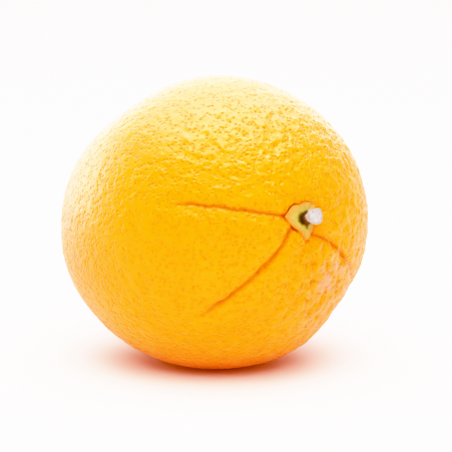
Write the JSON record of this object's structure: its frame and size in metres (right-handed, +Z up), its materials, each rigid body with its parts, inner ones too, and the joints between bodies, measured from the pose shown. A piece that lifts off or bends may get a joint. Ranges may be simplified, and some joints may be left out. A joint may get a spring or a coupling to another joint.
{
  "type": "orange",
  "caption": "Whole fresh orange lying on its side, with furrowed pitted peel, a dried star calyx and a short stalk stub at its stem end.",
  "frame": {"origin": "centre of the flat spot that the fruit rests on, on its underside", "axes": "+Z up from the rest spot; +X towards the stem end, which looks 9 degrees upward; +Y across"},
  "size_m": [0.0819, 0.0772, 0.0742],
  "materials": {
    "peel": "waxy, pitted with oil glands, satin",
    "calyx": "dried leaf, matte",
    "stalk": "bleached broken wood, matte"
  },
  "bodies": {
    "root": {"fruit": "peel", "calyx": "calyx", "stem_stub": "stalk"}
  },
  "joints": []
}
